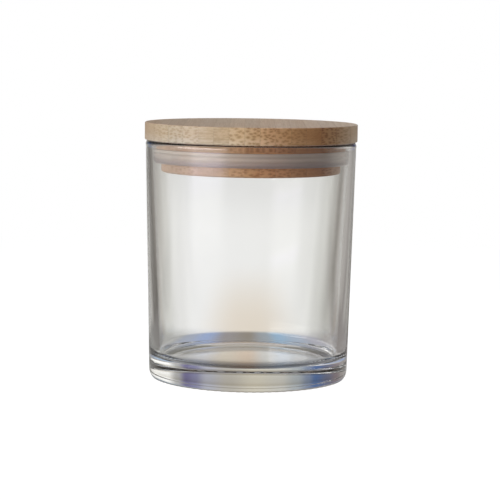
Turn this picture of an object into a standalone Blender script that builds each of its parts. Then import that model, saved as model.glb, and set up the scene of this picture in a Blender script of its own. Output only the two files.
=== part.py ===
"""Lidded glass jar for candles: a pressed tumbler, a bamboo lid glued up from strips, a silicone seal.

Metres, +Z up. The origin is the middle of the jar's foot, on the ground; the front faces -Y.
The jar stands still. The lid and its seal lift along +Z, and the lid turns about +Z.
"""

import math

import bmesh
import bpy

SEGMENTS = 96  # round the axis
ARC_STEP = math.radians(18)  # along a rounded corner

# Glass jar: outer wall, which turns in at the heel and meets the foot in a tight edge
JAR_HEIGHT = 0.0894
JAR_TOP_RADIUS = 0.03958
JAR_FOOT_RADIUS = 0.03749
HEEL_RADIUS = 0.0045
HEEL_TURN = 40  # degrees
HEEL_EDGE = 0.0005

# Glass jar: inner wall, floor and rim
RIM_WALL = 0.0022
WALL_AT_FLOOR = 0.0039
FLOOR_HEIGHT = 0.0082
FLOOR_FILLET = 0.0032

# Glass jar: underside, a flat ring that bears on the table round a shallow push-up, flat in its middle
PUSH_UP_RADIUS = 0.0325
PUSH_UP_HEIGHT = 0.0008
PUSH_UP_POWER = 4
PUSH_UP_STEPS = 10

# Bamboo lid, turned in one piece from the glued board
LID_GAP = 0.00035  # between the rim and the disc
DISC_RADIUS = 0.03996
DISC_THICKNESS = 0.0064
DISC_EDGE = 0.0008
PLUG_RADIUS = 0.0355
PLUG_DEPTH = 0.0120
LIP_RADIUS = 0.0338  # the plug below the seal
LIP_EDGE = 0.0004
GROOVE_RADIUS = 0.0326
GROOVE_TOP_DEPTH = 0.00315
GROOVE_WIDTH = 0.0053

# The strips that the board is glued from stand on edge and run front to back
STRIP_COUNT = 15
STRIP_WIDTH = 0.00555
FIRST_GLUE_LINE = -0.03565
GLUE_GAP = 0.0001

# Silicone seal: a band in the groove with ribs that reach towards the glass
SEAL_CLEARANCE = 0.0003
SEAL_BAND_RADIUS = 0.0359
SEAL_RIB_RADIUS = 0.03685
SEAL_RIBS = 3

DISC_BOTTOM = JAR_HEIGHT + LID_GAP
DISC_TOP = DISC_BOTTOM + DISC_THICKNESS
PLUG_BOTTOM = DISC_BOTTOM - PLUG_DEPTH
GROOVE_TOP = DISC_BOTTOM - GROOVE_TOP_DEPTH
GROOVE_BOTTOM = GROOVE_TOP - GROOVE_WIDTH

GLASS_COLOUR = (0.93, 0.95, 0.94, 1.0)
SILICONE_COLOUR = (0.78, 0.76, 0.73, 1.0)
BAMBOO_COLOURS = {
    "bamboo_pale": (0.58, 0.44, 0.28, 1.0),
    "bamboo_honey": (0.47, 0.32, 0.17, 1.0),
    "bamboo_dark": (0.33, 0.20, 0.10, 1.0),
}
STRIP_TONES = (
    "bamboo_pale bamboo_pale bamboo_pale bamboo_honey bamboo_pale "
    "bamboo_pale bamboo_honey bamboo_honey bamboo_pale bamboo_honey "
    "bamboo_honey bamboo_dark bamboo_dark bamboo_dark bamboo_honey"
).split()


def clear_scene():
    for obj in list(bpy.data.objects):
        bpy.data.objects.remove(obj, do_unlink=True)


def material(name, colour, roughness, transmission=0.0):
    made = bpy.data.materials.new(name)
    made.use_nodes = True
    made.diffuse_color = colour
    shader = made.node_tree.nodes["Principled BSDF"]
    shader.inputs["Base Color"].default_value = colour
    shader.inputs["Roughness"].default_value = roughness
    shader.inputs["Metallic"].default_value = 0.0
    shader.inputs["Transmission Weight"].default_value = transmission
    return made


def arc(centre, radius, start, end):
    """Points (r, z) along an arc, both ends included; angles in degrees from the +r direction."""
    start, end = math.radians(start), math.radians(end)
    count = max(2, math.ceil(abs(end - start) / ARC_STEP))
    turns = (start + (end - start) * i / count for i in range(count + 1))
    return [(centre[0] + radius * math.cos(t), centre[1] + radius * math.sin(t)) for t in turns]


def add_object(name, bm):
    """An object holding this mesh, round faces smooth and corners sharp."""
    mesh = bpy.data.meshes.new(name)
    bmesh.ops.recalc_face_normals(bm, faces=bm.faces)
    bm.to_mesh(mesh)
    bm.free()
    mesh.shade_smooth()
    mesh.set_sharp_from_angle(angle=math.radians(35))
    obj = bpy.data.objects.new(name, mesh)
    bpy.context.scene.collection.objects.link(obj)
    return obj


def turned(name, outline):
    """A solid of revolution about Z. An outline that starts and ends off the axis is closed into a ring."""
    bm = bmesh.new()
    points = [bm.verts.new((r, 0.0, z)) for r, z in outline]
    edges = [bm.edges.new(pair) for pair in zip(points, points[1:])]
    if outline[0][0] > 0.0:
        edges.append(bm.edges.new((points[-1], points[0])))
    bmesh.ops.spin(
        bm,
        geom=points + edges,
        cent=(0.0, 0.0, 0.0),
        axis=(0.0, 0.0, 1.0),
        angle=math.tau,
        steps=SEGMENTS,
        use_merge=True,
    )
    bmesh.ops.remove_doubles(bm, verts=bm.verts, dist=1e-6)
    return add_object(name, bm)


def outer_radius(z):
    """The jar's straight outer taper, at this height."""
    return JAR_FOOT_RADIUS + (JAR_TOP_RADIUS - JAR_FOOT_RADIUS) * z / JAR_HEIGHT


def inner_radius(z):
    """The straight inner wall, thicker towards the floor as the mould's plunger needs draft."""
    rise = (z - FLOOR_HEIGHT) / (JAR_HEIGHT - FLOOR_HEIGHT)
    return outer_radius(z) - WALL_AT_FLOOR - (RIM_WALL - WALL_AT_FLOOR) * rise


def underside():
    """From the outer wall round the heel and in to the middle of the push-up."""
    turn = math.radians(HEEL_TURN)
    reach = HEEL_RADIUS - HEEL_EDGE
    heel_height = HEEL_EDGE + reach * math.sin(turn)
    heel = (outer_radius(heel_height) - HEEL_RADIUS, heel_height)
    edge = (heel[0] + reach * math.cos(turn), HEEL_EDGE)
    inwards = [1 - i / PUSH_UP_STEPS for i in range(PUSH_UP_STEPS + 1)]
    dome = [(PUSH_UP_RADIUS * t, PUSH_UP_HEIGHT * (1 - t**PUSH_UP_POWER)) for t in inwards]
    return [*arc(heel, HEEL_RADIUS, 0, -HEEL_TURN), *arc(edge, HEEL_EDGE, -HEEL_TURN, -90)[1:], *dome]


def cavity():
    """From the middle of the floor out and up to the rim."""
    fillet_height = FLOOR_HEIGHT + FLOOR_FILLET
    fillet = (inner_radius(fillet_height) - FLOOR_FILLET, fillet_height)
    return [(0.0, FLOOR_HEIGHT), *arc(fillet, FLOOR_FILLET, -90, 0)]


def rim():
    """The fire-polished rim, rounded right over from the inner wall to the outer one."""
    half = RIM_WALL / 2
    return arc((JAR_TOP_RADIUS - half, JAR_HEIGHT - half), half, 180, 0)


def glass_jar():
    outline = underside()[::-1] + rim()[::-1] + cavity()[::-1]
    return turned("glass_jar", outline)


def silicone_seal():
    """A band that fills the groove, with evenly spaced rounded ribs on its outer side."""
    top = GROOVE_TOP - SEAL_CLEARANCE
    bottom = GROOVE_BOTTOM + SEAL_CLEARANCE
    pitch = (top - bottom) / SEAL_RIBS
    outline = [(GROOVE_RADIUS + SEAL_CLEARANCE, bottom), (SEAL_BAND_RADIUS, bottom)]
    for i in range(SEAL_RIBS):
        base = bottom + i * pitch
        outline.append((SEAL_RIB_RADIUS, base + 0.30 * pitch))
        outline.append((SEAL_RIB_RADIUS, base + 0.70 * pitch))
        outline.append((SEAL_BAND_RADIUS, base + pitch))
    outline.append((GROOVE_RADIUS + SEAL_CLEARANCE, top))
    return turned("silicone_seal", outline)


def lathe_envelope():
    """The lid's turned shape, disc and grooved plug. Every strip is cut by it."""
    inset = DISC_RADIUS - DISC_EDGE
    lip = (LIP_RADIUS - LIP_EDGE, PLUG_BOTTOM + LIP_EDGE)
    outline = [
        (0.0, DISC_TOP),
        *arc((inset, DISC_TOP - DISC_EDGE), DISC_EDGE, 90, 0),
        *arc((inset, DISC_BOTTOM + DISC_EDGE), DISC_EDGE, 0, -90),
        (PLUG_RADIUS, DISC_BOTTOM),
        (PLUG_RADIUS, GROOVE_TOP),
        (GROOVE_RADIUS, GROOVE_TOP),
        (GROOVE_RADIUS, GROOVE_BOTTOM),
        (LIP_RADIUS, GROOVE_BOTTOM),
        *arc(lip, LIP_EDGE, 0, -90),
        (0.0, PLUG_BOTTOM),
    ]
    envelope = turned("lathe_envelope", outline)
    envelope.hide_render = True
    envelope.display_type = "WIRE"
    return envelope


def strip_edges():
    """The x of each strip's two sides. The two outermost strips are cut short by the lid's round edge."""
    margin = 0.001
    lines = [FIRST_GLUE_LINE + i * STRIP_WIDTH for i in range(STRIP_COUNT - 1)]
    starts = [-DISC_RADIUS - margin] + [x + GLUE_GAP / 2 for x in lines]
    ends = [x - GLUE_GAP / 2 for x in lines] + [DISC_RADIUS + margin]
    return list(zip(starts, ends))


def bamboo_strip(name, start, end, envelope, finish):
    """One strip of the board as a bar, cut to the lid's turned shape."""
    reach = DISC_RADIUS + 0.001
    floor, ceiling = PLUG_BOTTOM - 0.001, DISC_TOP + 0.001
    bm = bmesh.new()
    bmesh.ops.create_cube(bm, size=1.0)
    bmesh.ops.scale(bm, verts=bm.verts, vec=(end - start, 2 * reach, ceiling - floor))
    strip = add_object(name, bm)
    strip.location = ((start + end) / 2, 0.0, (floor + ceiling) / 2)
    turn = strip.modifiers.new("turned on the lathe", "BOOLEAN")
    turn.operation = "INTERSECT"
    turn.solver = "EXACT"
    turn.object = envelope
    strip.data.materials.append(finish)
    return strip


def bamboo_lid():
    finishes = {
        name: material(name, colour, roughness=0.55) for name, colour in BAMBOO_COLOURS.items()
    }
    envelope = lathe_envelope()
    strips = []
    for i, (start, end) in enumerate(strip_edges()):
        finish = finishes[STRIP_TONES[i]]
        strips.append(bamboo_strip(f"lid_strip_{i + 1:02d}", start, end, envelope, finish))
    return strips


def axis_empty(name, parent=None):
    """An empty on the jar's axis, for the pieces that move together."""
    empty = bpy.data.objects.new(name, None)
    empty.empty_display_size = 0.02
    bpy.context.scene.collection.objects.link(empty)
    empty.parent = parent
    return empty


def build():
    clear_scene()
    jar = glass_jar()
    jar.data.materials.append(material("glass", GLASS_COLOUR, roughness=0.02, transmission=1.0))
    lift = axis_empty("lid_lift")
    seal = silicone_seal()
    seal.data.materials.append(material("silicone", SILICONE_COLOUR, roughness=0.4, transmission=0.3))
    seal.parent = lift
    twist = axis_empty("lid_twist", parent=lift)
    for strip in bamboo_lid():
        strip.parent = twist


build()
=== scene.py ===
"""Looks of the lidded candle jar: pressed glass, a bamboo lid glued up from strips, a silicone seal.

Every size is in metres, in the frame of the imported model. Glass, seal and bamboo are turned and cut
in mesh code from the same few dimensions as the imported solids, and ride on the same bodies.
"""

import math

import bmesh
import bpy
import numpy as np
from mathutils import Euler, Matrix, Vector, noise


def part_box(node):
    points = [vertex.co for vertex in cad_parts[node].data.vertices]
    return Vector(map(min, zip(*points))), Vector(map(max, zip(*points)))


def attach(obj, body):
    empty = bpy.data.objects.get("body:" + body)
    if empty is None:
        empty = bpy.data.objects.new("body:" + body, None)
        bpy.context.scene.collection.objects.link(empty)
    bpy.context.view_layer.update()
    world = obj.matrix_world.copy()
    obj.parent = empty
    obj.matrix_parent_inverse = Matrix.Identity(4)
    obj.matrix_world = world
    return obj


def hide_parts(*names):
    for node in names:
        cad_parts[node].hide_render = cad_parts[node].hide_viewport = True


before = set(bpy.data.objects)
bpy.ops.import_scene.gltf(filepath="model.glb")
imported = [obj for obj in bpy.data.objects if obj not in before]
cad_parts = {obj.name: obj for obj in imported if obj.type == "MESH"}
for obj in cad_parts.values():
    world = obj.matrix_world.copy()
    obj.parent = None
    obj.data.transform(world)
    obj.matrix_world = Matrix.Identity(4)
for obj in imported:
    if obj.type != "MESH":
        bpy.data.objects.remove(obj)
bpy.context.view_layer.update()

# ---------------------------------------------------------------- sizes, from the frame where it has them
_, JAR_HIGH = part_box("glass_jar")
SEAL_LOW, SEAL_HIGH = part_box("silicone_seal")
STRIPS = sorted(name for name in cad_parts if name.startswith("lid_strip"))
STRIP_BOXES = [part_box(name) for name in STRIPS]
JAR_HEIGHT = JAR_HIGH[2]
JAR_TOP_RADIUS = JAR_HIGH[0]
DISC_TOP = max(high[2] for low, high in STRIP_BOXES)
DISC_BOTTOM = STRIP_BOXES[0][0][2]
DISC_RADIUS = STRIP_BOXES[-1][1][0]
PLUG_BOTTOM = min(low[2] for low, high in STRIP_BOXES)

SEGMENTS = 960  # round the glass: twelve for each crescent of the foot's stipple
LID_SEGMENTS = 360
ARC_STEP = math.radians(6)

# Glass
JAR_FOOT_RADIUS = 0.03749
HEEL_RADIUS = 0.0045
HEEL_TURN = 40  # degrees that the outer wall turns in before it meets the foot
HEEL_EDGE = 0.0003
RIM_WALL = 0.0022
RIM_SHOULDER = 0.0020  # the rim's sides turn in this softly, then meet in a tighter crown
RIM_TURN = 32  # degrees
RIM_BEAD = 0.00018  # the fire-polished rim stands this far proud of the wall
RIM_BEAD_HEIGHT = 0.0026
WALL_AT_FLOOR = 0.0039
FLOOR_HEIGHT = 0.0082
FLOOR_FILLET = 0.0032
PUSH_UP_RADIUS = 0.0325
PUSH_UP_HEIGHT = 0.0008
PUSH_UP_POWER = 4  # the push-up is flat in its middle and falls off towards its edge
STIPPLE_COUNT = 80
STIPPLE_DEPTH = 0.00010
STIPPLE_START = 0.0340
STIPPLE_END = 0.0367
STIPPLE_FADES = (0.0004, 0.0006)  # the crescents rise and fall within these widths at the ring's two sides
STIPPLE_RISE = 0.0004  # the crescents stop at this height on the foot's edge
STIPPLE_SKEW = 5.0  # how far a crescent leans, in crescents, per centimetre of radius
WAVE_HEIGHT = 0.00003  # the slow unevenness of a pressed inner wall
WAVE_LENGTH = 0.02
WAVE_TOP = JAR_HEIGHT - 0.004  # the waves stop below the rim

# Bamboo lid
DISC_TOP_EDGE = 0.0005
DISC_LOW_EDGE = 0.0004
DISC_SETTLE = 0.00015  # the disc's underside is this much nearer to the rim than in the solids
PLUG_RADIUS = 0.0355
LIP_RADIUS = 0.0338
LIP_EDGE = 0.0005
GROOVE_EDGE = 0.0002  # the rounding of the two edges beside the seal's groove
GROOVE_RADIUS = 0.0326
GROOVE_TOP = SEAL_HIGH[2] + 0.0003
GROOVE_BOTTOM = SEAL_LOW[2] - 0.0003
GLUE_LINE = 0.00003
PLUG_TOP = DISC_BOTTOM - 2 * DISC_SETTLE  # the wood below this is the plug

# Silicone seal
SEAL_CLEARANCE = 0.0001
SEAL_TO_GLASS = 0.0002
SEAL_RIBS = 3
RIB_DEPTH = 0.00045
RIB_STEPS = 8


# ---------------------------------------------------------------- studio values
MM = 1000.0
# What the glass shows of its surroundings. Bearings are in degrees from the way the camera looks, and
# the floor's places in millimetres from the jar's axis; both are positive to the right of the view.
# A ring of cards stands round the object, with a dim ceiling above it.
WALL_CARDS = (
    (-180, (0.22, 0.22, 0.22)),
    (-130, (0.30, 0.30, 0.30)),
    (-85, (0.45, 0.44, 0.43)),
    (-67, (0.32, 0.29, 0.28)),
    (-52, (0.19, 0.15, 0.17)),
    (-41, (0.12, 0.13, 0.20)),
    (-31, (0.075, 0.13, 0.28)),
    (-26, (0.18, 0.22, 0.31)),
    (-20, (0.34, 0.37, 0.39)),
    (-12, (0.50, 0.49, 0.45)),
    (-3, (0.55, 0.52, 0.44)),
    (7, (0.42, 0.40, 0.36)),
    (16, (0.38, 0.39, 0.45)),
    (22, (0.20, 0.20, 0.32)),
    (27, (0.15, 0.14, 0.26)),
    (33, (0.40, 0.40, 0.40)),
    (42, (0.95, 0.95, 0.94)),
    (66, (1.10, 1.10, 1.08)),
    (84, (0.14, 0.14, 0.14)),
    (130, (0.10, 0.10, 0.10)),
    (180, (0.22, 0.22, 0.22)),
)
WALL_LOW = (1.20, 1.20, 1.20)  # the cards' brightness near the floor, and above it
WALL_HIGH = (0.76, 0.72, 0.64)
WALL_FADE = (6, 16)  # degrees above the floor
CEILING = (0.40, 0.40, 0.41)
CEILING_FADE = (15, 26)  # degrees above the floor
# The floor's painted glow as glass shows it, from left to right: behind the jar, close behind it with
# painted shadow, and under it with painted shadow
FLOOR_BEHIND = (
    (-180, (0.46, 0.43, 0.40)),
    (-135, (0.40, 0.38, 0.35)),
    (-110, (0.24, 0.22, 0.20)),
    (-92, (0.12, 0.11, 0.10)),
    (-68, (0.12, 0.11, 0.10)),
    (-58, (0.42, 0.40, 0.37)),
    (-50, (0.58, 0.57, 0.54)),
    (-36, (0.73, 0.73, 0.70)),
    (-27, (0.92, 0.92, 0.91)),
    (-16, (0.99, 0.99, 0.99)),
    (11, (0.96, 0.96, 0.95)),
    (19, (0.90, 0.90, 0.88)),
    (26, (0.74, 0.74, 0.71)),
    (35, (0.46, 0.45, 0.42)),
    (43, (0.25, 0.23, 0.21)),
    (52, (0.32, 0.30, 0.28)),
    (62, (0.43, 0.42, 0.40)),
    (75, (0.22, 0.20, 0.19)),
    (86, (0.32, 0.30, 0.28)),
    (100, (0.42, 0.40, 0.38)),
    (180, (0.50, 0.48, 0.45)),
)
# painted shadow close behind the jar, with bluish patches
FLOOR_NEAR_SHADOW = (
    (-75, (0.22, 0.21, 0.20)),
    (-50, (0.40, 0.40, 0.38)),
    (-36, (0.44, 0.44, 0.43)),
    (-27, (0.40, 0.44, 0.54)),
    (-18, (0.34, 0.43, 0.67)),
    (-9, (0.32, 0.30, 0.30)),
    (0, (0.29, 0.26, 0.22)),
    (7, (0.34, 0.38, 0.42)),
    (13, (0.32, 0.48, 0.66)),
    (20, (0.38, 0.46, 0.58)),
    (29, (0.43, 0.43, 0.50)),
    (45, (0.40, 0.38, 0.37)),
    (75, (0.26, 0.24, 0.23)),
)
# painted shadow under the jar, with bluish and warm patches
FLOOR_UNDER_SHADOW = (
    (-36, (0.48, 0.48, 0.46)),
    (-28, (0.72, 0.72, 0.74)),
    (-18, (0.72, 0.76, 0.92)),
    (-9, (0.78, 0.68, 0.58)),
    (0, (0.80, 0.57, 0.43)),
    (7, (0.78, 0.80, 0.84)),
    (13, (0.74, 0.87, 1.08)),
    (20, (0.66, 0.70, 0.78)),
    (36, (0.46, 0.45, 0.44)),
)
UNDER_END = (14, 26)  # the tones under the jar give way to the next ones between these places
NEAR_END = (64, 108)
FLOOR_SPREAD = 200  # the tones behind the jar spread with distance: this far back they are twice as wide
UNDER_SHADE_RISE = (-30, 20)  # the painted shadow under the jar lifts from front to back, by these levels
UNDER_SHADE_LEVELS = (0.15, 1.25)
WARM_FLOOR = (0.88, 0.80, 0.70)  # a warm patch behind the jar
WARM_SIDES = (4, 32)  # it fades out sideways and backwards between these distances
WARM_FADE = (110, 330)
FRONT_FLOOR = (0.22, 0.22, 0.22)  # the floor in front of the jar
FRONT_START = (-38, -70)
FAR_FADE = (420, 760)
FAR_LEVEL = 0.89  # how bright the floor is beyond that distance
# Where the floor throws the lamp back: its bearing, half its width, and its strength by distance
GLARE_CENTRE = -132
GLARE_HALF = 27
GLARE_BY_REACH = (
    (200, (0.0, 0.0, 0.0)),
    (330, (0.4, 0.4, 0.4)),
    (490, (0.8, 0.8, 0.8)),
    (560, (1.1, 1.1, 1.1)),
    (700, (1.5, 1.4, 1.9)),
    (770, (1.9, 1.7, 2.4)),
    (850, (1.7, 1.6, 1.8)),
    (960, (0.8, 0.8, 0.8)),
    (1500, (0.4, 0.4, 0.4)),
)
# The lamp panel: bearing and elevation of its centre, and half its size, in degrees
KEY_CENTRE = (-122, 10)
KEY_HALF = (34, 18)
KEY_POWER = 6.0
# The floor as the camera sees it: its own glow and its matt grey near the jar, plain white further out
FLOOR_GLOW = 0.82
FLOOR_ALBEDO = 0.45
FLOOR_WHITE = (0.12, 0.5)  # metres
FLOOR_DROP = 0.0003  # the floor lies this far under the foot
FLOOR_REACH = 6.0

CAMERA_LENS = 138.55  # millimetres
CAMERA_DISTANCE = 0.724  # in front of the jar's axis
CAMERA_HEIGHT = 0.1281
CAMERA_AIM = 0.048  # the height on the jar's axis that it looks at
CAMERA_ROLL = 0.0145  # radians
CAMERA_SHIFT = (0.0009, 0.0001)


# ---------------------------------------------------------------- mesh helpers
def arc(centre, radius, start, end, step=ARC_STEP):
    """Points (r, z) along an arc, both ends included; angles in degrees from the +r direction."""
    start, end = math.radians(start), math.radians(end)
    count = max(2, math.ceil(abs(end - start) / step))
    turns = (start + (end - start) * i / count for i in range(count + 1))
    return [(centre[0] + radius * math.cos(t), centre[1] + radius * math.sin(t)) for t in turns]


def line(start, end, count):
    """Points (r, z) evenly along a straight stretch, without its last point."""
    return [
        (start[0] + (end[0] - start[0]) * i / count, start[1] + (end[1] - start[1]) * i / count)
        for i in range(count)
    ]


def without_repeats(outline):
    kept = [outline[0]]
    for point in outline[1:]:
        if math.dist(point, kept[-1]) > 1e-7:
            kept.append(point)
    return kept


def turned(name, outline, segments, shift=None):
    """A solid of revolution. The outline runs anticlockwise in (r, z); ends on the axis become poles."""
    outline = without_repeats(outline)
    closed = outline[0][0] > 1e-9
    angles = [math.tau * i / segments for i in range(segments)]
    points, rings = [], []
    for r, z in outline:
        if r < 1e-9:
            rings.append([len(points)] * segments)
            points.append((0.0, 0.0, z))
            continue
        rings.append(list(range(len(points), len(points) + segments)))
        for angle in angles:
            rr, zz = shift(r, z, angle) if shift else (r, z)
            points.append((rr * math.cos(angle), rr * math.sin(angle), zz))
    pairs = list(zip(rings, rings[1:]))
    if closed:
        pairs.append((rings[-1], rings[0]))
    faces = []
    for low, high in pairs:
        for i in range(segments):
            j = (i + 1) % segments
            corners = [low[i], low[j], high[j], high[i]]
            faces.append(list(dict.fromkeys(corners)))
    mesh = bpy.data.meshes.new(name)
    mesh.from_pydata(points, [], faces)
    return finished(name, mesh)


def finished(name, mesh, sharp=35):
    mesh.validate()
    mesh.shade_smooth()
    mesh.set_sharp_from_angle(angle=math.radians(sharp))
    obj = bpy.data.objects.new(name, mesh)
    bpy.context.scene.collection.objects.link(obj)
    return obj


def smooth(edge_a, edge_b, value):
    t = min(1.0, max(0.0, (value - edge_a) / (edge_b - edge_a)))
    return t * t * (3 - 2 * t)


# ---------------------------------------------------------------- glass jar
def outer_radius(z):
    taper = JAR_FOOT_RADIUS + (JAR_TOP_RADIUS - JAR_FOOT_RADIUS) * z / JAR_HEIGHT
    return taper + RIM_BEAD * smooth(JAR_HEIGHT - RIM_BEAD_HEIGHT, JAR_HEIGHT, z)


def inner_radius(z):
    rise = (z - FLOOR_HEIGHT) / (JAR_HEIGHT - FLOOR_HEIGHT)
    taper = JAR_FOOT_RADIUS + (JAR_TOP_RADIUS - JAR_FOOT_RADIUS) * z / JAR_HEIGHT
    return taper - WALL_AT_FLOOR - (RIM_WALL - WALL_AT_FLOOR) * rise


def wall(z):
    """The radius of the middle of the wall at this height, and half its thickness."""
    outer, inner = outer_radius(z), inner_radius(z)
    return (outer + inner) / 2, (outer - inner) / 2


def rim_side(half):
    """One side of the rim, from the wall up to the crown's top, on a wall of this half thickness."""
    turn = math.radians(RIM_TURN)
    shoulder = arc((half - RIM_SHOULDER, 0.0), RIM_SHOULDER, 0, RIM_TURN, ARC_STEP / 2)
    crown = shoulder[-1][0] / math.cos(turn)
    top = arc((0.0, shoulder[-1][1] - crown * math.sin(turn)), crown, RIM_TURN, 90)
    return shoulder + top[1:]


def rim_outline():
    """Points over the rim from the outer wall to the inner one, and the height where the walls end."""
    _, half = wall(JAR_HEIGHT - 0.001)
    rim_z = JAR_HEIGHT - rim_side(half)[-1][1]
    middle, half = wall(rim_z)
    side = rim_side(half)
    outer = [(middle + r, rim_z + z) for r, z in side]
    inner = [(middle - r, rim_z + z) for r, z in reversed(side[:-1])]
    return outer + inner, rim_z


def jar_outline():
    """Anticlockwise: the underside out from the axis, up the outside, over the rim, down the inside."""
    heel_z = HEEL_EDGE + (HEEL_RADIUS - HEEL_EDGE) * math.sin(math.radians(HEEL_TURN))
    heel = (outer_radius(heel_z) - HEEL_RADIUS, heel_z)
    edge = (heel[0] + (HEEL_RADIUS - HEEL_EDGE) * math.cos(math.radians(HEEL_TURN)), HEEL_EDGE)
    rim, rim_z = rim_outline()
    fillet_z = FLOOR_HEIGHT + FLOOR_FILLET
    fillet = (inner_radius(fillet_z) - FLOOR_FILLET, fillet_z)
    push_up = [
        (r, PUSH_UP_HEIGHT * (1 - (r / PUSH_UP_RADIUS) ** PUSH_UP_POWER))
        for r in np.linspace(0.0, PUSH_UP_RADIUS, 20)
    ]
    bead_z = rim_z - RIM_BEAD_HEIGHT
    outside = [(outer_radius(z), z) for z in np.linspace(heel_z, bead_z - 0.0004, 10)]
    outside += [(outer_radius(z), z) for z in np.linspace(bead_z, rim_z, 6)]
    inside = [(inner_radius(z), z) for z in np.linspace(rim_z, fillet_z, 20)]
    return (
        push_up
        + line((STIPPLE_START, 0.0), (edge[0], 0.0), 6)
        + arc(edge, HEEL_EDGE, -90, -HEEL_TURN)
        + arc(heel, HEEL_RADIUS, -HEEL_TURN, 0, ARC_STEP / 2)
        + outside
        + rim
        + inside
        + arc(fillet, FLOOR_FILLET, 0, -90)
        + line((fillet[0], FLOOR_HEIGHT), (0.0, FLOOR_HEIGHT), 10)
        + [(0.0, FLOOR_HEIGHT)]
    )


def stippled(r, angle):
    """Height of the foot's ring of leaning crescents over the flat it would bear on."""
    inside = smooth(STIPPLE_START, STIPPLE_START + STIPPLE_FADES[0], r)
    band = inside * (1 - smooth(STIPPLE_END - STIPPLE_FADES[1], STIPPLE_END, r))
    lean = STIPPLE_SKEW * (r - STIPPLE_START) * 100
    ridge = 0.5 + 0.5 * math.cos(STIPPLE_COUNT * angle + lean)
    return STIPPLE_DEPTH * band * (1 - smooth(0.25, 0.8, ridge))


def jar_shift(r, z, angle):
    """Stipples under the foot, and the slow waves of the pressed inside."""
    if z < STIPPLE_RISE and r > PUSH_UP_RADIUS:
        return r, z + stippled(r, angle)
    place = Vector((r * math.cos(angle), r * math.sin(angle), z * 0.5)) / WAVE_LENGTH
    wave = WAVE_HEIGHT * noise.noise(place)
    middle = (outer_radius(z) + inner_radius(max(z, FLOOR_HEIGHT))) / 2
    if z >= FLOOR_HEIGHT - 1e-9 and r < middle and z < WAVE_TOP:
        if z < FLOOR_HEIGHT + 1e-9:
            return r, z + wave
        return r + wave, z
    return r, z


def glass_jar():
    return turned("jar_glass", jar_outline(), SEGMENTS, jar_shift)


# ---------------------------------------------------------------- silicone seal
def seal_outline():
    """Anticlockwise: up the outside over three soft ribs, then down the inside."""
    low, high = GROOVE_BOTTOM + SEAL_CLEARANCE, GROOVE_TOP - SEAL_CLEARANCE
    inner = GROOVE_RADIUS + SEAL_CLEARANCE
    outline = [(inner, low)]
    for t in np.linspace(0.0, 1.0, SEAL_RIBS * RIB_STEPS + 1):
        z = low + (high - low) * t
        hollow = RIB_DEPTH * (0.5 + 0.5 * math.cos(math.tau * SEAL_RIBS * t))
        outline.append((inner_radius(z) - SEAL_TO_GLASS - hollow, z))
    outline.append((inner, high))
    return outline


def silicone_seal():
    return turned("seal_ring", seal_outline(), LID_SEGMENTS)


# ---------------------------------------------------------------- bamboo lid
def lid_outline():
    """Anticlockwise: under the plug out from the axis, up over the groove and the disc, back to the axis."""
    underside = DISC_BOTTOM - DISC_SETTLE
    lip_corner = (LIP_RADIUS - LIP_EDGE, PLUG_BOTTOM + LIP_EDGE)
    step = math.radians(15)
    return (
        [(0.0, PLUG_BOTTOM)]
        + arc(lip_corner, LIP_EDGE, -90, 0, step)
        + arc((LIP_RADIUS - GROOVE_EDGE, GROOVE_BOTTOM - GROOVE_EDGE), GROOVE_EDGE, 0, 90, step * 2)
        + [(GROOVE_RADIUS, GROOVE_BOTTOM), (GROOVE_RADIUS, GROOVE_TOP)]
        + arc((PLUG_RADIUS - GROOVE_EDGE, GROOVE_TOP + GROOVE_EDGE), GROOVE_EDGE, -90, 0, step * 2)
        + [(PLUG_RADIUS, underside)]
        + arc((DISC_RADIUS - DISC_LOW_EDGE, underside + DISC_LOW_EDGE), DISC_LOW_EDGE, -90, 0, step)
        + arc((DISC_RADIUS - DISC_TOP_EDGE, DISC_TOP - DISC_TOP_EDGE), DISC_TOP_EDGE, 0, 90, step)
        + [(0.0, DISC_TOP)]
    )


def cut_flat(bm, x, keep_right):
    """Cuts the mesh at this x, keeps one side and closes the cut."""
    cut = bmesh.ops.bisect_plane(
        bm,
        geom=bm.verts[:] + bm.edges[:] + bm.faces[:],
        dist=1e-7,
        plane_co=(x, 0.0, 0.0),
        plane_no=(1.0, 0.0, 0.0),
        clear_inner=keep_right,
        clear_outer=not keep_right,
    )
    edges = [e for e in cut["geom_cut"] if isinstance(e, bmesh.types.BMEdge)]
    bmesh.ops.triangle_fill(bm, use_beauty=True, edges=edges)


def lid_strips():
    """The turned lid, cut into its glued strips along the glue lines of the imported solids."""
    whole = turned("lid_whole", lid_outline(), LID_SEGMENTS)
    strips = []
    last = len(STRIPS) - 1
    for i, (low, high) in enumerate(STRIP_BOXES):
        bm = bmesh.new()
        bm.from_mesh(whole.data)
        if i > 0:
            joint = (STRIP_BOXES[i - 1][1][0] + low[0]) / 2
            cut_flat(bm, joint + GLUE_LINE / 2, keep_right=True)
        if i < last:
            joint = (high[0] + STRIP_BOXES[i + 1][0][0]) / 2
            cut_flat(bm, joint - GLUE_LINE / 2, keep_right=False)
        bmesh.ops.recalc_face_normals(bm, faces=bm.faces)
        mesh = bpy.data.meshes.new(f"bamboo_strip_{i + 1:02d}")
        bm.to_mesh(mesh)
        bm.free()
        strips.append(finished(mesh.name, mesh))
    bpy.data.objects.remove(whole, do_unlink=True)
    return strips


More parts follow.
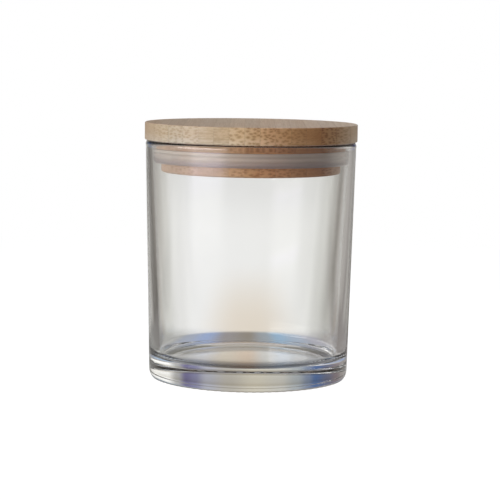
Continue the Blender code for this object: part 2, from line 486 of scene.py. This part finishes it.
# ---------------------------------------------------------------- shader helpers
class Graph:
    """Short calls for building a node tree. A value may be a socket or a plain number."""

    def __init__(self, tree):
        self.tree = tree

    def node(self, kind, **settings):
        made = self.tree.nodes.new(kind)
        for key, value in settings.items():
            setattr(made, key, value)
        return made

    def feed(self, socket, value):
        if isinstance(value, bpy.types.NodeSocket):
            self.tree.links.new(value, socket)
        else:
            socket.default_value = value

    def math(self, operation, *values, clamp=False):
        made = self.node("ShaderNodeMath", operation=operation, use_clamp=clamp)
        for socket, value in zip(made.inputs, values):
            self.feed(socket, value)
        return made.outputs[0]

    def vector(self, operation, *values):
        made = self.node("ShaderNodeVectorMath", operation=operation)
        for socket, value in zip(made.inputs, values):
            self.feed(socket, value)
        return made.outputs["Value" if operation in ("DOT_PRODUCT", "LENGTH") else "Vector"]

    def split(self, vector):
        made = self.node("ShaderNodeSeparateXYZ")
        self.feed(made.inputs[0], vector)
        return made.outputs

    def join(self, x, y, z):
        made = self.node("ShaderNodeCombineXYZ")
        for socket, value in zip(made.inputs, (x, y, z)):
            self.feed(socket, value)
        return made.outputs[0]

    def grey(self, value):
        return self.join(value, value, value)

    def ramp(self, value, low, high, start=0.0, end=1.0):
        """A smooth step from start to end as value goes from low to high."""
        made = self.node("ShaderNodeMapRange", interpolation_type="SMOOTHSTEP")
        for socket, number in zip(made.inputs, (value, low, high, start, end)):
            self.feed(socket, number)
        return made.outputs[0]

    def mix(self, factor, a, b, blend="MIX"):
        made = self.node("ShaderNodeMix", data_type="RGBA", blend_type=blend)
        self.feed(made.inputs[0], factor)
        for socket, value in ((made.inputs[6], a), (made.inputs[7], b)):
            self.feed(socket, (*value, 1.0) if isinstance(value, tuple) and len(value) == 3 else value)
        return made.outputs[2]

    def noise(self, vector, scale, detail=3.0, roughness=0.5):
        made = self.node("ShaderNodeTexNoise")
        self.feed(made.inputs["Vector"], vector)
        self.feed(made.inputs["Scale"], scale)
        self.feed(made.inputs["Detail"], detail)
        self.feed(made.inputs["Roughness"], roughness)
        return made.outputs[0]

    def emission(self, colour=(1.0, 1.0, 1.0, 1.0), strength=1.0):
        made = self.node("ShaderNodeEmission")
        self.feed(made.inputs["Color"], colour)
        self.feed(made.inputs["Strength"], strength)
        return made.outputs[0]

    def mix_shaders(self, factor, a, b):
        made = self.node("ShaderNodeMixShader")
        for socket, value in zip(made.inputs, (factor, a, b)):
            self.feed(socket, value)
        return made.outputs[0]

    def surface(self, shader):
        self.feed(self.tree.nodes["Material Output"].inputs["Surface"], shader)


def new_material(name):
    material = bpy.data.materials.new(name)
    material.use_nodes = True
    graph = Graph(material.node_tree)
    return material, graph, material.node_tree.nodes["Principled BSDF"]


# ---------------------------------------------------------------- glass and silicone
GLASS_COLOUR = (0.985, 0.985, 0.978)
GLASS_SHADE = (0.95, 0.95, 0.945)  # the share of light that goes through to what is inside
SILICONE_TONES = ((0.92, 0.86, 0.80), (0.98, 0.94, 0.89))
SILICONE_LOWER_SHADE = (0.56, 0.51, 0.53)  # painted shade at its lower edge, where it turns under
SILICONE_CLOUDS = 160.0  # per metre
SILICONE_SHADE = (0.85, 0.82, 0.78)


def let_light_through(g, shader, tint):
    """Light between a matt surface and a lamp passes straight through this material."""
    clear = g.node("ShaderNodeBsdfTransparent")
    clear.inputs["Color"].default_value = (*tint, 1.0)
    path = g.node("ShaderNodeLightPath").outputs
    to_lamp = g.math("MAXIMUM", path["Is Shadow Ray"], path["Is Diffuse Ray"])
    g.surface(g.mix_shaders(to_lamp, shader.outputs[0], clear.outputs[0]))


def glass_material():
    """Clear glass, made so that what is inside the jar is lit."""
    material, g, shader = new_material("pressed_glass")
    g.feed(shader.inputs["Base Color"], (*GLASS_COLOUR, 1.0))
    g.feed(shader.inputs["Transmission Weight"], 1.0)
    g.feed(shader.inputs["Roughness"], 0.0)
    g.feed(shader.inputs["IOR"], 1.51)
    let_light_through(g, shader, GLASS_SHADE)
    return material


def silicone_material():
    """Cloudy silicone. It lets light through to the bamboo behind it, and is painted darker towards its
    lower edge, as shade.
    """
    material, g, shader = new_material("silicone")
    place = g.node("ShaderNodeTexCoord").outputs["Object"]
    tone = g.mix(g.noise(place, SILICONE_CLOUDS, 3.0), *SILICONE_TONES)
    # painted shade: the seal darkens towards its lower edge
    lower = g.ramp(g.split(place)[2], SEAL_LOW[2], SEAL_HIGH[2], 1.0, 0.0)
    tone = g.mix(g.math("MULTIPLY", lower, lower), tone, SILICONE_LOWER_SHADE)
    g.feed(shader.inputs["Base Color"], tone)
    g.feed(shader.inputs["Transmission Weight"], 0.7)
    g.feed(shader.inputs["Roughness"], 0.35)
    g.feed(shader.inputs["IOR"], 1.41)
    let_light_through(g, shader, SILICONE_SHADE)
    return material


# ---------------------------------------------------------------- bamboo
# One line for each strip, left to right: colour, fibre pitch in mm, how strong its dots and its lines are.
# The colours are partly the strips' own tones and partly painted shade. They darken to the right, away from
# the lamp at the front left. The last two strips are lighter again, as painted light on the lid's right
# edge.
STRIP_LOOKS_AND_SHADE = (
    ((0.45, 0.34, 0.23), 0.85, 0.12, 0.1),
    ((0.50, 0.41, 0.29), 0.85, 0.50, 0.1),
    ((0.53, 0.44, 0.32), 1.00, 0.50, 0.1),
    ((0.56, 0.45, 0.33), 1.10, 0.45, 0.2),
    ((0.58, 0.46, 0.32), 1.10, 0.12, 0.6),
    ((0.60, 0.46, 0.29), 1.20, 0.20, 0.8),
    ((0.69, 0.51, 0.32), 1.45, 0.65, 0.3),
    ((0.70, 0.48, 0.26), 1.45, 0.80, 0.2),
    ((0.69, 0.42, 0.23), 1.30, 0.80, 0.1),
    ((0.63, 0.36, 0.17), 1.20, 0.65, 0.2),
    ((0.62, 0.35, 0.16), 1.10, 0.45, 0.2),
    ((0.50, 0.24, 0.10), 1.00, 0.15, 0.2),
    ((0.49, 0.25, 0.10), 1.00, 0.90, 0.1),
    ((0.62, 0.39, 0.20), 1.00, 0.75, 0.1),
    ((0.76, 0.59, 0.40), 0.95, 0.20, 0.1),
)
TOP_SHEEN_TONES = ((0.52, 0.37, 0.265), (0.79, 0.69, 0.59))  # painted sheen on the top, at its left and at its right: a grey grazing reflection over the wood, stronger towards the right where light skims it
UNDERSIDE_LIGHT = (0.90, 0.82, 0.72)  # painted light on faces that look down, lifting the shade under the disc
FACE_LIGHT_SHARE = 0.75  # how far the top and the underside take this painted sheen and painted light over their strips' own colours
PLUG_LIGHT_AND_SHADE = ((0.97, 0.75, 0.61), (1.14, 1.03, 1.12))  # painted light and shade on the plug below the disc: darker and warmer on the middle strips, lighter on the outer ones
STRIP_CONTRAST = 0.035  # strips are lighter and darker by this, in a wave that turns so far per strip
STRIP_CONTRAST_TURN = 2.4
# What each detail does to a strip's colour
PATCH_TINT = (0.94, 0.86, 0.76)  # slow patches along the grain
FIBRE_TINT = (0.66, 0.58, 0.52)  # single fibres
LAYER_TINT = (0.74, 0.66, 0.56)  # level lines across the end grain
PITH_TINT = (1.14, 1.18, 1.24)  # the pale stuff between the bundles
BUNDLE_TINT = (0.50, 0.34, 0.22)
JOINT_TINT = (0.5, 0.4, 0.3)  # along the glue lines
LOW_EDGE_TINT = (1.10, 1.18, 1.34)  # where the table's light reaches the disc's lower edge
LOW_EDGE_RISE = (3.2, 0.6)  # it fades in between these heights over that edge, in millimetres
SANDING_TINT = (1.07, 1.06, 1.06)
BUMP_HEIGHT = 0.00006


def between(a, b, share=0.5):
    return tuple(p + (q - p) * share for p, q in zip(a, b))


def tinted(g, colour, tint):
    return g.mix(1.0, colour, tint, "MULTIPLY")


def scaled(g, x, y, z, scales):
    return g.join(*(g.math("MULTIPLY", value, scale) for value, scale in zip((x, y, z), scales)))


def strip_tone_and_light(g, index, share, z, normal_z):
    """A strip's colour, which runs into its neighbours' so that the painted shade across the lid changes
    smoothly. On top it takes a painted sheen, below painted light, and on the plug painted light and shade.
    """
    last = len(STRIP_LOOKS_AND_SHADE) - 1
    before, colour, after = (STRIP_LOOKS_AND_SHADE[min(max(i, 0), last)][0] for i in (index - 1, index, index + 1))
    # painted shade: each strip's colour runs into its neighbours', so the light falling off to the right
    # changes smoothly
    tone = g.mix(share, between(before, colour), between(colour, after))
    # painted sheen: faces that look up take the top's greyer tones
    tone = g.mix(g.ramp(normal_z, 0.5, 0.9, 0.0, FACE_LIGHT_SHARE), tone, between(*TOP_SHEEN_TONES, index / last))
    # painted light: faces that look down are lightened
    tone = g.mix(g.ramp(normal_z, -0.5, -0.9, 0.0, FACE_LIGHT_SHARE), tone, UNDERSIDE_LIGHT)
    # painted light and shade on the plug, by how far the strip lies from the middle
    plug = between(*PLUG_LIGHT_AND_SHADE, min(1.0, abs(index - last // 2) / 4))
    tone = g.mix(g.math("LESS_THAN", z, PLUG_TOP * MM), tone, tinted(g, tone, plug))
    own = 1 + STRIP_CONTRAST * math.sin(STRIP_CONTRAST_TURN * index)
    return tinted(g, tone, (own, own, own))


def fibre_reach(g, index, x, y, z, pitch):
    """How far a point lies from the nearest fibre bundle: 0 in its middle, about 0.6 between bundles."""
    drift = g.noise(scaled(g, x, y, z, (1.0, 0.05, 1.0)), 0.35, 2.0)
    wander = g.math("MULTIPLY", g.math("SUBTRACT", drift, 0.5), 0.8)
    across = g.math("DIVIDE", g.math("ADD", x, wander), 1.5 * pitch)
    upward = g.math("DIVIDE", g.math("ADD", z, wander), 0.8 * pitch)
    cells = g.node("ShaderNodeTexVoronoi", voronoi_dimensions="2D", feature="F1")
    g.feed(cells.inputs["Vector"], g.join(across, g.math("ADD", upward, 7.3 * index), 0.0))
    cells.inputs["Scale"].default_value = 1.0
    cells.inputs["Randomness"].default_value = 1.0
    ragged = g.noise(scaled(g, x, y, z, (1.3, 0.1, 3.5)), 1.0, 2.0)
    return g.math("ADD", cells.outputs["Distance"], g.math("MULTIPLY", g.math("SUBTRACT", ragged, 0.5), 0.5))


def disc_light(g, tone, x, y, z, normal_z):
    """Light from the table takes the colour out of the disc's lower edge; sanding marks cross its top."""
    on_disc = g.math("GREATER_THAN", z, PLUG_TOP * MM)
    low_edge = g.ramp(z, *(DISC_BOTTOM * MM + rise for rise in LOW_EDGE_RISE))
    tone = g.mix(g.math("MULTIPLY", low_edge, on_disc), tone, tinted(g, tone, LOW_EDGE_TINT))
    marks = g.noise(scaled(g, x, y, z, (0.03, 0.7, 0.0)), 1.0, 4.0, 0.6)
    sanded = g.math("MULTIPLY", g.ramp(marks, 0.35, 0.65), g.ramp(normal_z, 0.5, 0.9))
    return g.mix(sanded, tone, tinted(g, tone, SANDING_TINT))


def bamboo_material(index):
    """Solid bamboo: fibre bundles run along Y, so they show as dots in front and as streaks on top."""
    _, pitch, dots, lines = STRIP_LOOKS_AND_SHADE[index]
    left, right = (corner[0] * MM for corner in STRIP_BOXES[index])
    material, g, shader = new_material(f"bamboo_{index + 1:02d}")
    coords = g.node("ShaderNodeTexCoord")
    x, y, z = g.split(g.vector("MULTIPLY", coords.outputs["Object"], (MM, MM, MM)))
    _, normal_y, normal_z = g.split(coords.outputs["Normal"])
    share = g.math("DIVIDE", g.math("SUBTRACT", x, left), right - left, clamp=True)
    base = strip_tone_and_light(g, index, share, z, normal_z)
    end_grain = g.ramp(g.math("ABSOLUTE", normal_y), 0.15, 0.75)
    reach = fibre_reach(g, index, x, y, z, pitch)
    fibre = g.noise(scaled(g, x, y, z, (3.1, 0.045, 3.1)), 1.0, 5.0, 0.6)
    patch = g.noise(scaled(g, x, y, z, (1.0, 0.08, 1.0)), 0.16, 2.0)
    layer = g.noise(g.join(g.math("MULTIPLY", x, 0.12), index, g.math("MULTIPLY", z, 1.5)), 1.0, 2.0)

    tone = g.mix(g.ramp(patch, 0.3, 0.7, 0.0, 0.6), base, tinted(g, base, PATCH_TINT))
    tone = g.mix(g.ramp(fibre, 0.35, 0.7, 0.0, 0.35), tone, tinted(g, base, FIBRE_TINT))
    lined = g.math("MULTIPLY", g.ramp(layer, 0.45, 0.60), g.math("MULTIPLY", end_grain, lines))
    tone = g.mix(lined, tone, tinted(g, base, LAYER_TINT))
    pith = g.math("MULTIPLY", g.ramp(reach, 0.40, 0.66), g.math("MULTIPLY", end_grain, 0.5 * dots))
    tone = g.mix(pith, tone, tinted(g, base, PITH_TINT))
    strength = g.math("MULTIPLY_ADD", end_grain, 0.70 * dots, 0.16 * dots)
    bundle = g.math("MULTIPLY", g.ramp(reach, 0.46, 0.08), strength)
    tone = g.mix(bundle, tone, tinted(g, base, BUNDLE_TINT))
    tone = disc_light(g, tone, x, y, z, normal_z)
    side = g.math("MINIMUM", g.math("SUBTRACT", x, left), g.math("SUBTRACT", right, x))
    tone = g.mix(g.ramp(side, 0.14, 0.03, 0.0, 0.2), tone, tinted(g, base, JOINT_TINT))

    g.feed(shader.inputs["Base Color"], tone)
    g.feed(shader.inputs["Roughness"], g.ramp(fibre, 0.2, 0.8, 0.42, 0.62))
    bump = g.node("ShaderNodeBump")
    bump.inputs["Strength"].default_value = 0.5
    bump.inputs["Distance"].default_value = BUMP_HEIGHT
    g.feed(bump.inputs["Height"], g.math("ADD", fibre, g.math("MULTIPLY", bundle, -0.8)))
    g.feed(shader.inputs["Normal"], bump.outputs[0])
    return material


# ---------------------------------------------------------------- studio
def camera_axes(g, x, y):
    """(x, y) seen from above as (right, ahead) of the way the camera looks."""
    turn = {"vector_type": "VECTOR", "convert_from": "CAMERA", "convert_to": "WORLD"}
    look = g.node("ShaderNodeVectorTransform", **turn)
    g.feed(look.inputs[0], (0.0, 0.0, 1.0))
    look_x, look_y, _ = g.split(look.outputs[0])
    flat = g.vector("NORMALIZE", g.join(look_x, look_y, 0.0))
    look_x, look_y, _ = g.split(flat)
    ahead = g.math("ADD", g.math("MULTIPLY", look_x, x), g.math("MULTIPLY", look_y, y))
    right = g.math("SUBTRACT", g.math("MULTIPLY", look_y, x), g.math("MULTIPLY", look_x, y))
    return right, ahead


def tones(g, value, stops):
    """Colours along a value: each stop is (value, colour)."""
    first, last = stops[0][0], stops[-1][0]
    span = last - first
    ramp = g.node("ShaderNodeValToRGB")
    ramp.color_ramp.interpolation = "EASE"
    elements = ramp.color_ramp.elements
    while len(elements) < len(stops):
        elements.new(0.5)
    for element, (place, colour) in zip(elements, stops):
        element.position = (place - first) / span
        element.color = (*colour, 1.0)
    g.feed(ramp.inputs[0], g.math("MULTIPLY_ADD", value, 1 / span, -first / span))
    return ramp.outputs[0]


def panel(g, turn, height, centre, half):
    """A soft-edged lamp panel: centre and half size are (bearing, elevation) in degrees."""
    inside = 1.0
    for value, middle, size in zip((turn, height), centre, half):
        off = g.math("ABSOLUTE", g.math("SUBTRACT", value, math.radians(middle)))
        edge = math.radians(size)
        inside = g.math("MULTIPLY", inside, g.ramp(off, 0.7 * edge, edge, 1.0, 0.0))
    return inside


def studio_world():
    """A low band of cards behind and beside the object, a dim ceiling and one lamp panel, front left."""
    world = bpy.data.worlds.new("studio")
    bpy.context.scene.world = world
    world.use_nodes = True
    g = Graph(world.node_tree)
    background = world.node_tree.nodes["Background"]
    x, y, z = g.split(g.node("ShaderNodeTexCoord").outputs["Generated"])
    right, ahead = camera_axes(g, x, y)
    turn = g.math("ARCTAN2", right, ahead)
    height = g.math("ARCSINE", g.math("MINIMUM", g.math("MAXIMUM", z, -1.0), 1.0))
    fade = g.ramp(height, *map(math.radians, WALL_FADE))
    cards = tones(g, g.math("DEGREES", turn), WALL_CARDS)
    band = tinted(g, cards, g.mix(fade, WALL_LOW, WALL_HIGH))
    over = g.ramp(height, *map(math.radians, CEILING_FADE))
    room = g.mix(over, band, CEILING)
    key = g.math("MULTIPLY", panel(g, turn, height, KEY_CENTRE, KEY_HALF), KEY_POWER)
    lit = g.vector("ADD", room, g.grey(key))
    seen = g.node("ShaderNodeLightPath").outputs["Is Camera Ray"]
    g.feed(background.inputs["Color"], g.mix(seen, lit, (1.0, 1.0, 1.0)))
    background.inputs["Strength"].default_value = 1.0


def floor_glare(g, right, ahead):
    """Where the far floor, front left, throws the lamp back at the upper half of the glass."""
    turn = g.math("DEGREES", g.math("ARCTAN2", right, ahead))
    aside = g.math("ABSOLUTE", g.math("SUBTRACT", turn, GLARE_CENTRE))
    reach = g.vector("LENGTH", g.join(right, ahead, 0.0))
    diffuse = g.node("ShaderNodeLightPath").outputs["Is Diffuse Ray"]
    patch = g.math("MULTIPLY", g.ramp(aside, GLARE_HALF, 0.4 * GLARE_HALF), g.math("SUBTRACT", 1.0, diffuse))
    return g.vector("MULTIPLY", tones(g, reach, GLARE_BY_REACH), g.grey(patch))


def painted_floor_glow(g, x, y):
    """The floor's painted glow as glass shows it, in zones: in front of the jar, under it and close behind
    it with painted shadow, and behind.
    """
    right, ahead = camera_axes(g, g.math("MULTIPLY", x, MM), g.math("MULTIPLY", y, MM))
    spread = g.math("MULTIPLY_ADD", g.math("MAXIMUM", ahead, 0.0), 1 / FLOOR_SPREAD, 1.0)
    behind = tones(g, g.math("DIVIDE", right, spread), FLOOR_BEHIND)
    near = tones(g, right, FLOOR_NEAR_SHADOW)
    # painted shadow under the jar, lighter from front to back
    under = tones(g, right, FLOOR_UNDER_SHADOW)
    level = g.ramp(ahead, *UNDER_SHADE_RISE, *UNDER_SHADE_LEVELS)
    under = g.vector("MULTIPLY", under, g.grey(level))
    aside = g.ramp(g.math("ABSOLUTE", right), *WARM_SIDES, 1.0, 0.0)
    warm = g.math("MULTIPLY", aside, g.ramp(ahead, *WARM_FADE, 1.0, 0.0))
    behind = g.mix(warm, behind, tinted(g, behind, WARM_FLOOR))
    floor = g.mix(g.ramp(ahead, *NEAR_END), near, behind)
    floor = g.mix(g.ramp(ahead, *UNDER_END), under, floor)
    floor = g.mix(g.ramp(ahead, *FRONT_START), floor, FRONT_FLOOR)
    far = g.ramp(ahead, *FAR_FADE, 1.0, FAR_LEVEL)
    floor = g.vector("MULTIPLY", floor, g.grey(far))
    return g.vector("ADD", floor, floor_glare(g, right, ahead))


def floor_material():
    """White where the camera sees the floor. Where glass bends the view, it glows in painted tones like the
    cards' colours, with painted shadow under and close behind the jar.
    """
    material = bpy.data.materials.new("pale_floor")
    material.use_nodes = True
    material.node_tree.nodes.remove(material.node_tree.nodes["Principled BSDF"])
    g = Graph(material.node_tree)
    x, y, _ = g.split(g.node("ShaderNodeTexCoord").outputs["Object"])
    matt = g.node("ShaderNodeBsdfDiffuse")
    matt.inputs["Color"].default_value = (FLOOR_ALBEDO, FLOOR_ALBEDO, FLOOR_ALBEDO, 1.0)
    near = g.node("ShaderNodeAddShader")
    g.feed(near.inputs[0], g.emission(strength=FLOOR_GLOW))
    g.feed(near.inputs[1], matt.outputs[0])
    away = g.ramp(g.vector("LENGTH", g.join(x, y, 0.0)), *FLOOR_WHITE)
    plain = g.mix_shaders(away, near.outputs[0], g.emission())
    seen = g.node("ShaderNodeLightPath").outputs["Is Camera Ray"]
    g.surface(g.mix_shaders(seen, g.emission(painted_floor_glow(g, x, y)), plain))
    return material


def studio_floor():
    corners = [(FLOOR_REACH * x, FLOOR_REACH * y, 0.0) for x, y in ((-1, -1), (1, -1), (1, 1), (-1, 1))]
    mesh = bpy.data.meshes.new("studio_floor")
    mesh.from_pydata(corners, [], [(0, 1, 2, 3)])
    mesh.materials.append(floor_material())
    floor = bpy.data.objects.new("studio_floor", mesh)
    bpy.context.scene.collection.objects.link(floor)
    floor.location.z = -FLOOR_DROP


def camera():
    """The main view: a long lens, a little above the jar, level but for a slight roll."""
    data = bpy.data.cameras.new("camera")
    data.lens = CAMERA_LENS
    data.sensor_width = 36.0
    data.shift_x, data.shift_y = CAMERA_SHIFT
    made = bpy.data.objects.new("camera", data)
    bpy.context.scene.collection.objects.link(made)
    made.location = (0.0, -CAMERA_DISTANCE, CAMERA_HEIGHT)
    aim = Vector((0.0, 0.0, CAMERA_AIM)) - made.location
    turn = aim.to_track_quat("-Z", "Y") @ Euler((0.0, 0.0, CAMERA_ROLL)).to_quaternion()
    made.rotation_mode = "QUATERNION"
    made.rotation_quaternion = turn
    bpy.context.scene.camera = made


def light_paths():
    """Enough bounces for the thick base, and a plain tone scale."""
    scene = bpy.context.scene
    scene.view_settings.view_transform = "Standard"
    scene.view_settings.look = "None"
    scene.cycles.max_bounces = 24
    scene.cycles.transmission_bounces = 24
    scene.cycles.glossy_bounces = 8
    scene.cycles.diffuse_bounces = 4
    scene.cycles.sample_clamp_indirect = 3.0
    scene.cycles.use_denoising = True


def place(obj, material, body, node):
    """Gives a piece its material and its body, and hides the solid it stands for."""
    obj.data.materials.append(material)
    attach(obj, body)
    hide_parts(node)


def build():
    light_paths()
    studio_world()
    studio_floor()
    camera()
    place(glass_jar(), glass_material(), "jar", "glass_jar")
    place(silicone_seal(), silicone_material(), "seal", "silicone_seal")
    for i, strip in enumerate(lid_strips()):
        place(strip, bamboo_material(i), "lid", STRIPS[i])


build()
